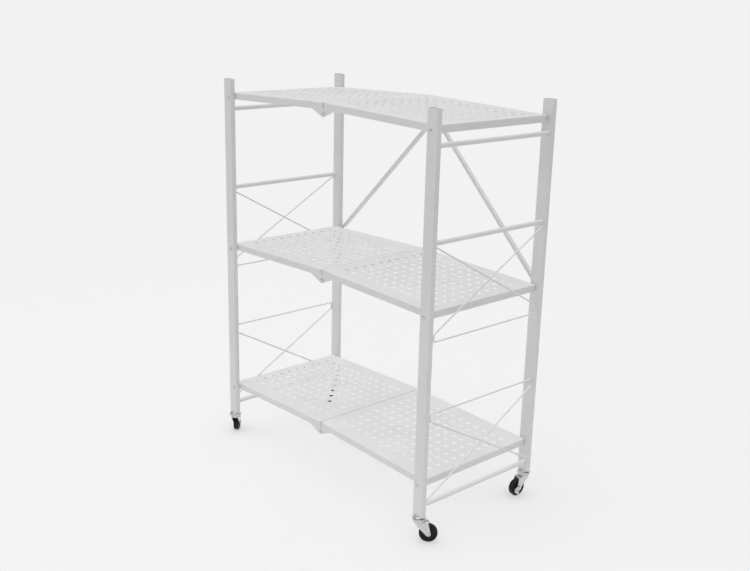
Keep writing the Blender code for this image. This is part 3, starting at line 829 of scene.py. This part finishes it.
def make_rivet(node, collar=None):
    """A rivet between the two ends of its CAD box: domed outside, rolled over inside."""
    low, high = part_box(node)
    spot = (low + high) / 2
    outer, inner = high.y - MIDDLE_Y, low.y - MIDDLE_Y
    turn = -90
    if spot.y < MIDDLE_Y:
        outer, inner = -inner, -outer
        turn = 90
    head = outer - RIVET_HEAD_HEIGHT
    tail = inner + RIVET_TAIL_HEIGHT
    profile = dome(RIVET_HEAD_RADIUS, head, RIVET_HEAD_HEIGHT) + [(RIVET_RADIUS, head)]
    if collar:
        near, far = collar
        rim = RIVET_TAIL_RADIUS
        edge = 0.0002
        profile += [(RIVET_RADIUS, far), (rim - edge, far), (rim, far - edge)]
        profile += [(rim, near + edge), (rim - edge, near), (RIVET_RADIUS, near)]
    profile += [(RIVET_RADIUS, tail)] + rolled(RIVET_TAIL_RADIUS, tail, RIVET_TAIL_HEIGHT)
    bm = bmesh.new()
    place = Matrix.Translation((spot.x, MIDDLE_Y, spot.z)) @ Matrix.Rotation(math.radians(turn), 4, "X")
    add_turned(bm, profile, 24, place)
    add_piece(f"{node}_steel", new_mesh(node, bm), "zinc_steel", node)


def make_rivets():
    """Post rivets, with a collar beside the narrower right halves, and the middle hinge pins."""
    shelf_back = {side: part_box(f"shelf_middle_{side}")[1].y - MIDDLE_Y for side in SIDES}
    rod_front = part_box("guide_rod")[0].y - MIDDLE_Y
    for tier in TIERS:
        for end in ENDS:
            make_rivet(f"rivet_{end}_left_{tier}")
            make_rivet(f"rivet_{end}_right_{tier}", (shelf_back["right"] + GAP, POST_INNER_Y - GAP))
        make_rivet(f"middle_pin_front_{tier}")
        make_rivet(f"middle_pin_rear_{tier}", (shelf_back["left"] + GAP, rod_front - GAP))


# ---------------------------------------------------------------- rear linkage
def make_guide_rod():
    """A round rod with a bored eye at each of the three middle hinges."""
    low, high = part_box("guide_rod")
    middle = (low + high) / 2
    depth = (high.y - low.y) / 2
    edge = 0.0008
    rim = EYE_RADIUS - edge
    stand = Matrix.Translation((0, middle.y, 0))
    foot, tip = PIN_Z["bottom"], PIN_Z["top"]
    profile = [(0, foot), (ROD_RADIUS, foot), (ROD_RADIUS, tip), (0, tip)]
    # an odd number of sides keeps the rod's and the eyes' facets from lying in one plane
    shapes = [turned_object(profile, 27, stand)]
    front = arc(rim, edge - depth, edge, -90, 0, 3)
    back = arc(rim, depth - edge, edge, 0, 90, 3)
    eye = [(0, -depth)] + front + back + [(0, depth)]
    for tier in TIERS:
        shapes.append(turned_object(eye, 37, facing_y(0, middle.y, PIN_Z[tier])))
    cuts = [drill(0, middle.y, PIN_Z[tier], RIVET_RADIUS + GAP) for tier in TIERS]
    add_piece("guide_rod_bar", joined("guide_rod", shapes, cuts), "white_paint", "guide_rod")


def make_slider_hub(hub_z):
    """The moulded sleeve on the rod, with its plate and the two holes for the braces."""
    low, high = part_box("slider_hub")
    rod_y = centre("guide_rod").y
    top = high.z
    bore = ROD_RADIUS + GAP
    lip = 0.0006
    taper = low.z + HUB_TIP_LENGTH
    profile = [
        (bore, top),
        (HUB_RADIUS - lip, top),
        (HUB_RADIUS, top - lip),
        (HUB_RADIUS, taper),
        (HUB_TIP_RADIUS + lip, low.z + lip),
        (HUB_TIP_RADIUS, low.z),
        (bore, low.z),
    ]
    sleeve = turned_object(profile, 32, Matrix.Translation((0, rod_y, 0)))
    tall = 2 * (top - hub_z - GAP)
    outline = rounded_rectangle(high.x - low.x, tall, HUB_PLATE_CORNER, 5)
    plate = prism_object(outline, -high.y, HUB_PLATE - high.y, facing_y(0, 0, hub_z))
    cuts = []
    for sign in (-1, 1):
        cuts.append(drill(sign * HUB_PIVOT_HALF_SPAN, high.y, hub_z, HUB_RIVET_RADIUS + GAP, 0.003))
    mesh = joined("slider_hub", [sleeve, plate], cuts)
    add_piece("slider_hub_body", mesh, "white_plastic", "slider_hub", bevel=0.00025)


def make_brace(side, hub_z):
    """A channel from a rear post up to the hub, with round flat ends."""
    node = f"brace_{side}"
    low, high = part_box(node)
    foot = pivot(f"{side}_brace_pivot")
    run = PIVOT_X - HUB_PIVOT_HALF_SPAN
    rise = hub_z - foot.z
    length = math.hypot(run, rise)
    half = BRACE_WIDTH / 2
    depth = high.y - low.y
    neck = 2 * BRACE_END_RADIUS
    opening = BRACE_END_OPENING
    outline = arc(0, 0, BRACE_END_RADIUS, opening, 360 - opening, 20)
    outline += [(neck, -half), (length - neck, -half)]
    outline += arc(length, 0, BRACE_END_RADIUS, opening - 180, 180 - opening, 20)
    outline += [(length - neck, half), (neck, half)]
    shapes = [prism_object(outline, -BRACE_WEB, 0.0)]
    start = BRACE_FLANGE_SETBACK
    slant = BRACE_FLANGE_SLANT
    wall = half - BRACE_FLANGE_INSET
    shape = [
        (start, BRACE_WEB / 2),
        (start + slant, depth),
        (length - start - slant, depth),
        (length - start, BRACE_WEB / 2),
    ]
    # the flange's outline runs along the brace and away from the web, which is local -z
    upright = Matrix(((1, 0, 0, 0), (0, 0, 1, 0), (0, -1, 0, 0), (0, 0, 0, 1)))
    for inner, outer in ((half - BRACE_WEB, wall), (-wall, BRACE_WEB - half)):
        shapes.append(prism_object(shape, inner, outer, upright))
    bore, reach = RIVET_RADIUS + GAP, 0.01
    profile = [(0, -reach), (bore, -reach), (bore, reach), (0, reach)]
    cuts = [turned_object(profile, 24, Matrix.Translation((x, 0, 0))) for x in (0.0, length)]
    angle = math.atan2(rise, run)
    if side == "right":
        angle = math.pi - angle
    stand = facing_y(foot.x, low.y, foot.z) @ Matrix.Rotation(angle, 4, "Z")
    mesh = placed(joined(node, shapes, cuts), stand)
    add_piece(f"{node}_channel", mesh, "white_paint", node, bevel=0.0004)


def make_hub_rivet(side, hub_z):
    """The rivet that holds a brace to the hub plate; it rides on the brace."""
    plate_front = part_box("slider_hub")[1].y - HUB_PLATE
    web_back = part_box(f"brace_{side}")[0].y + BRACE_WEB
    profile = dome(HUB_HEAD_RADIUS, web_back, HUB_HEAD_HEIGHT)
    profile += [(HUB_RIVET_RADIUS, web_back), (HUB_RIVET_RADIUS, plate_front)]
    profile += rolled(HUB_TAIL_RADIUS, plate_front, HUB_TAIL_HEIGHT)
    bm = bmesh.new()
    place = Matrix.Translation((SIDES[side] * HUB_PIVOT_HALF_SPAN, 0, hub_z))
    add_turned(bm, profile, 20, place @ Matrix.Rotation(math.radians(-90), 4, "X"))
    add_piece(f"hub_rivet_{side}", new_mesh("hub_rivet", bm), "zinc_steel", body=f"{side}_brace")


# ---------------------------------------------------------------- casters
def caster_place(end, side):
    """The caster's own frame on the floor: X towards the axle, Y along the axle, Z up."""
    stem = pivot(f"caster_swivel_{end}_{side}")
    axle = pivot(f"wheel_spin_{end}_{side}")
    heading = math.atan2(axle.y - stem.y, axle.x - stem.x)
    return Matrix.Translation((stem.x, stem.y, 0)) @ Matrix.Rotation(heading, 4, "Z")


def stem_mesh():
    """Stem, pressed upper race and kingpin."""
    top = POST_LOW.z - GAP
    low = FORK_TOP + 2 * GAP
    head = FORK_TOP - FORK_DISC_DEPTH - GAP
    profile = [
        (0, head - 0.0014),
        (0.0040, head - 0.0014),
        (0.0051, head - 0.0006),
        (0.0051, head),
        (KINGPIN_RADIUS, head),
        (KINGPIN_RADIUS, low + 0.0016),
        (0.0130, low + 0.0014),
        (0.0136, low),
        (0.0142, low),
        (RACE_RADIUS, low + 0.0004),
        (RACE_RADIUS, low + 0.0030),
        (0.0142, low + 0.0040),
        (0.0131, low + 0.0049),
        (0.0124, low + 0.0060),
        (0.0121, top - 0.0012),
        (0.0114, top - 0.0003),
        (0.0104, top),
        (STEM_RADIUS, top),
        (STEM_RADIUS, top + 0.024),
        (STEM_RADIUS - 0.001, top + 0.025),
        (0, top + 0.025),
    ]
    bm = bmesh.new()
    add_turned(bm, profile, 48)
    return new_mesh("stem", bm)


def ball_mesh():
    """The ring of bearing balls between the race and the fork."""
    bm = bmesh.new()
    for i in range(BALLS):
        angle = 2 * math.pi * i / BALLS
        x, y = BALL_RING_RADIUS * math.cos(angle), BALL_RING_RADIUS * math.sin(angle)
        place = Matrix.Translation((x, y, FORK_TOP + BALL_RISE))
        bmesh.ops.create_icosphere(bm, subdivisions=2, radius=BALL_RADIUS, matrix=place)
    return new_mesh("balls", bm)


def leg_edges():
    """The back and front edges of a fork leg as (x, z), each from the round foot to the shoulder."""
    under = FORK_TOP - FORK_DISC_DEPTH
    corners = []
    for degrees, x, z in ((-125, -FORK_LEG_BEHIND, under - 0.0035), (30, FORK_LEG_AHEAD, under + 0.0025)):
        angle = math.radians(degrees)
        foot_x = TRAIL + FORK_FOOT_RADIUS * math.cos(angle)
        corners.append((foot_x, WHEEL_RADIUS + FORK_FOOT_RADIUS * math.sin(angle), x, z))
    return corners


def leg_reach(z):
    """How far back and how far ahead a leg goes at a height."""
    bulge = math.sqrt(max(FORK_FOOT_RADIUS ** 2 - (z - WHEEL_RADIUS) ** 2, 0.0))
    reach = []
    for sign, (low_x, low_z, high_x, high_z) in zip((-1, 1), leg_edges()):
        if z < low_z:
            reach.append(TRAIL + sign * bulge)
        else:
            part = min((z - low_z) / (high_z - low_z), 1.0)
            reach.append(low_x + (high_x - low_x) * part)
    return reach


def fork_mesh():
    """The pressed yoke: a dished disc over a U-shaped strap whose legs lean back to the axle."""
    under = FORK_TOP - FORK_DISC_DEPTH
    bore = KINGPIN_RADIUS + GAP
    disc = turned_object([
        (bore, under),
        (0.0112, under),
        (0.0121, under + 0.0003),
        (FORK_DISC_RADIUS, under + 0.0010),
        (FORK_DISC_RADIUS, FORK_TOP - 0.0021),
        (0.0122, FORK_TOP - 0.0014),
        (0.0115, FORK_TOP - 0.0010),
        (0.0108, FORK_TOP - 0.0008),
        (0.0100, FORK_TOP - 0.0002),
        (0.0094, FORK_TOP),
        (bore, FORK_TOP),
    ], 48)
    shoulder = 0.003
    leg_top = under + FORK_SHEET - shoulder
    inner = FORK_GAP / 2
    stations = []
    for i in range(9):
        rise = FORK_FOOT_RADIUS * math.cos(math.radians(4 + 10 * i))
        stations.append((inner, WHEEL_RADIUS - rise, 1.0, 0.0))
    for i in range(1, 9):
        stations.append((inner, WHEEL_RADIUS + (leg_top - WHEEL_RADIUS) * i / 8, 1.0, 0.0))
    near = shoulder - FORK_SHEET
    for i in range(1, 6):
        angle = math.radians(90 * i / 5)
        out = (math.cos(angle), math.sin(angle))
        stations.append((inner - near + near * out[0], leg_top + near * out[1], out[0], out[1]))
    stations += [(-y, z, -oy, oz) for y, z, oy, oz in reversed(stations)]
    bm = bmesh.new()
    rings = []
    for y, z, oy, oz in stations:
        behind, ahead = leg_reach(z)
        far_y, far_z = y + FORK_SHEET * oy, z + FORK_SHEET * oz
        rings.append(ring(bm, [
            (behind, y, z), (ahead, y, z), (ahead, far_y, far_z), (behind, far_y, far_z),
        ]))
    for before, after in zip(rings, rings[1:]):
        bridge(bm, before, after)
    bm.faces.new(rings[0])
    bm.faces.new(rings[-1])
    strap = new_object("strap", new_mesh("strap", bm))
    profile = [(0, under - 0.01), (bore, under - 0.01), (bore, FORK_TOP + 0.01), (0, FORK_TOP + 0.01)]
    cuts = [turned_object(profile, 32), drill(TRAIL, 0, WHEEL_RADIUS, AXLE_RADIUS + GAP)]
    return joined("fork", [disc, strap], cuts)


def wheel_mesh():
    """A moulded wheel: boss, sunk web, rounded tread with a fine parting line."""
    side = [
        (AXLE_RADIUS + GAP, 0.00675),
        (0.0052, 0.00675),
        (0.0058, 0.0064),
        (0.0062, 0.0052),
        (0.0068, 0.00475),
        (0.0128, 0.00475),
        (0.0136, 0.0050),
        (0.0141, 0.0059),
        (0.0149, 0.00625),
        (0.0169, 0.00625),
        (0.0181, 0.0059),
        (0.0189, 0.0052),
        (0.0193, 0.0042),
        (WHEEL_RADIUS - 0.00003, 0.0030),
        (WHEEL_RADIUS, 0.0016),
        (WHEEL_RADIUS, 0.0002),
    ]
    profile = [(radius, -height) for radius, height in side] + [(WHEEL_RADIUS - 0.00008, 0.0)]
    profile += list(reversed(side))
    bm = bmesh.new()
    add_turned(bm, profile, 72, facing_y(0, 0, 0))
    return new_mesh("wheel", bm)


def axle_mesh(node):
    """A rivet across the fork, as long as its CAD node: domed at one end, rolled over at the other."""
    spin = JOINTS[node.replace("caster_axle", "wheel_spin")]
    axis, spot = Vector(spin["axis"]), Vector(spin["pos_m"])
    stem = pivot(node.replace("caster_axle", "caster_swivel"))
    across = Vector((0, 0, 1)).cross(Vector((spot.x - stem.x, spot.y - stem.y, 0))).normalized()
    if axis.dot(across) < 0:
        axis = -axis
    reaches = [(vertex.co - spot).dot(axis) for vertex in frame["nodes"][node].data.vertices]
    near, far = min(reaches), max(reaches)
    head = 0.0041
    thick = 0.0013
    profile = dome(head, far - thick, thick) + [(AXLE_RADIUS, far - thick), (AXLE_RADIUS, near + thick)]
    profile += rolled(head, near + thick, thick)
    bm = bmesh.new()
    add_turned(bm, profile, 28, Matrix.Rotation(math.radians(-90), 4, "X"))
    return new_mesh("axle", bm)


def lever_mesh():
    """A pressed lever on the axle, its foot tab bent outwards."""
    near = FORK_GAP / 2 + FORK_SHEET + GAP
    bend = 0.002
    inner = bend - LEVER_SHEET
    start = LEVER_REACH - bend
    plate = arc(0, 0, LEVER_EYE_RADIUS, 60, 300, 20)
    plate += [(start, -LEVER_BELOW_AXLE), (start, LEVER_ABOVE_AXLE)]
    body = prism_object(plate, -near - LEVER_SHEET, -near, facing_y(0, 0, 0))
    stations = [(start - 0.001, near + LEVER_SHEET, 0.0, -1.0, 0.0)]
    for i in range(6):
        out = (math.sin(math.radians(18 * i)), -math.cos(math.radians(18 * i)))
        stations.append((start + inner * out[0], near + bend + inner * out[1], out[0], out[1], 0.0))
    tip = near + LEVER_SHEET + LEVER_TAB
    for back, trim in ((0.003, 0.0), (0.0008, 0.0004), (0.0, 0.0014)):
        stations.append((LEVER_REACH - LEVER_SHEET, tip - back, 1.0, 0.0, trim))
    bm = bmesh.new()
    rings = []
    for x, y, ox, oy, trim in stations:
        low, high = trim - LEVER_BELOW_AXLE, LEVER_ABOVE_AXLE - trim
        far_x, far_y = x + LEVER_SHEET * ox, y + LEVER_SHEET * oy
        rings.append(ring(bm, [(x, y, low), (x, y, high), (far_x, far_y, high), (far_x, far_y, low)]))
    for before, after in zip(rings, rings[1:]):
        bridge(bm, before, after)
    bm.faces.new(rings[0])
    bm.faces.new(rings[-1])
    tab = new_object("tab", new_mesh("tab", bm))
    return joined("lever", [body, tab], [drill(0, 0, 0, AXLE_RADIUS + GAP)])


def make_casters():
    """Four casters, each turned to its heading, and a brake lever on each of the rear two."""
    stem, balls, fork, wheel, lever = stem_mesh(), ball_mesh(), fork_mesh(), wheel_mesh(), lever_mesh()
    for end in ENDS:
        for side in SIDES:
            spot = f"{end}_{side}"
            place = caster_place(end, side)
            at_axle = place @ Matrix.Translation((TRAIL, 0, WHEEL_RADIUS))
            axle = axle_mesh(f"caster_axle_{spot}")
            for part, mesh, where, finish, stands_for, softness in (
                ("stem", stem, place, "zinc_steel", "caster_stem", {"sharp": 45}),
                ("balls", balls, place, "zinc_steel", None, {"sharp": 60}),
                ("fork", fork, place, "zinc_steel", "caster_fork", {"bevel": 0.0002}),
                ("wheel", wheel, at_axle, "black_plastic", "caster_wheel", {"sharp": 50}),
                ("axle", axle, at_axle, "zinc_steel", "caster_axle", {}),
            ):
                node = f"{stands_for}_{spot}" if stands_for else None
                body = None if node else BODY[f"caster_stem_{spot}"]
                add_piece(f"{part}_{spot}", placed(mesh, where), finish, node, body, **softness)
            if end == "rear":
                brake = placed(lever, at_axle)
                add_piece(f"lever_{side}", brake, "zinc_steel", f"brake_lever_{side}", bevel=0.0002)


# ---------------------------------------------------------------- stage
def make_floor():
    """A pale disc under the rack that fades into the pale surroundings."""
    bm = bmesh.new()
    hub = bm.verts.new((0, 0, 0))
    rim = ring(bm, [(x, y, 0) for x, y in arc(0, 0, FLOOR_RADIUS, 0, 360, 96)[:-1]])
    for i, point in enumerate(rim):
        bm.faces.new((hub, point, rim[(i + 1) % len(rim)]))
    mesh = bpy.data.meshes.new("floor")
    bm.to_mesh(mesh)
    bm.free()
    floor = new_object("floor", mesh)
    material, nodes, links, shader = new_material("pale_floor")
    shader.inputs["Base Color"].default_value = (FLOOR_SHADE, FLOOR_SHADE, FLOOR_SHADE, 1.0)
    shader.inputs["Roughness"].default_value = 0.9
    shader.inputs["Specular IOR Level"].default_value = 0.05
    where = nodes.new("ShaderNodeTexCoord")
    distance = nodes.new("ShaderNodeVectorMath")
    distance.operation = "LENGTH"
    links.new(where.outputs["Object"], distance.inputs[0])
    fade = add_range(nodes, links, distance.outputs["Value"], 1.0, 0.0, *FLOOR_FADE, "SMOOTHSTEP")
    links.new(fade, shader.inputs["Alpha"])
    mesh.materials.append(material)


def background_mix(nodes, links, choice, otherwise, chosen):
    """One colour where choice is 0 and another where it is 1; a number is a shade of grey."""
    mix = nodes.new("ShaderNodeMix")
    mix.data_type = "RGBA"
    links.new(choice, mix.inputs["Factor"])
    for socket, value in ((mix.inputs[6], otherwise), (mix.inputs[7], chosen)):
        if isinstance(value, float):
            socket.default_value = (value, value, value, 1.0)
        else:
            links.new(value, socket)
    return mix.outputs[2]


def make_world():
    """Pale where it is seen, dimmer as a light, and banded in reflections so that metal has contrast."""
    world = bpy.data.worlds.new("studio")
    world.use_nodes = True
    nodes, links = world.node_tree.nodes, world.node_tree.links
    background = nodes["Background"]
    path = nodes.new("ShaderNodeLightPath")
    where = nodes.new("ShaderNodeTexCoord")
    height = nodes.new("ShaderNodeSeparateXYZ")
    links.new(where.outputs["Generated"], height.inputs["Vector"])
    upwards = add_range(nodes, links, height.outputs["Z"], 0.0, 1.0, -1.0, 1.0)
    bands = add_ramp(nodes, links, upwards, [(place, (shade, shade, shade)) for place, shade in BANDS])
    light = background_mix(nodes, links, path.outputs["Is Glossy Ray"], WORLD_LIGHT, bands)
    seen = background_mix(nodes, links, path.outputs["Is Camera Ray"], light, WORLD_SEEN)
    links.new(seen, background.inputs["Color"])
    bpy.context.scene.world = world


def make_lights():
    """A soft light from the front left, and an even one from above that throws no shadow."""
    key = bpy.data.lights.new("key", "AREA")
    key.size = KEY_SIZE
    key.energy = KEY_POWER
    above = bpy.data.lights.new("above", "SUN")
    above.angle = math.radians(ABOVE_SPREAD)
    above.energy = ABOVE_POWER
    above.use_shadow = False
    for data, spot in ((key, KEY_SPOT), (above, ABOVE_SPOT)):
        light = bpy.data.objects.new(data.name, data)
        bpy.context.scene.collection.objects.link(light)
        light.location = spot
        light.rotation_mode = "QUATERNION"
        light.rotation_quaternion = (LIGHT_AIM - spot).to_track_quat("-Z", "Y")


def make_camera():
    """Front right and a little above, tilted a touch."""
    azimuth, elevation = math.radians(AZIMUTH), math.radians(ELEVATION)
    ahead = Vector((
        -math.sin(azimuth) * math.cos(elevation),
        math.cos(azimuth) * math.cos(elevation),
        -math.sin(elevation),
    ))
    right = Vector((math.cos(azimuth), math.sin(azimuth), 0))
    up = right.cross(ahead)
    roll = math.radians(ROLL)
    tilted_right = right * math.cos(roll) + up * math.sin(roll)
    tilted_up = up * math.cos(roll) - right * math.sin(roll)
    spot = Vector((0, MIDDLE_Y, AIM_HEIGHT)) - ahead * DISTANCE
    data = bpy.data.cameras.new("camera")
    data.lens = LENS
    data.clip_start = 0.01
    data.clip_end = 60.0
    camera = bpy.data.objects.new("camera", data)
    bpy.context.scene.collection.objects.link(camera)
    rows = [tuple(row) for row in zip(tilted_right, tilted_up, -ahead, spot)]
    camera.matrix_world = Matrix(rows + [(0, 0, 0, 1)])
    bpy.context.scene.camera = camera


# ---------------------------------------------------------------- the whole rack
def main():
    for side in SIDES:
        for end in ENDS:
            make_post(end, side)
        for level in ("upper", "middle", "lower"):
            make_rail(level, side)
        for level in ("upper", "lower"):
            make_wire_brace(level, side)
    make_shelves()
    make_rivets()
    make_guide_rod()
    hub_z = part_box("slider_hub")[1].z - HUB_PLATE_HALF_HEIGHT
    make_slider_hub(hub_z)
    for side in SIDES:
        make_brace(side, hub_z)
        make_hub_rivet(side, hub_z)
    make_casters()
    make_floor()
    make_world()
    make_lights()
    make_camera()
    bpy.context.scene.view_settings.view_transform = "Standard"


main()
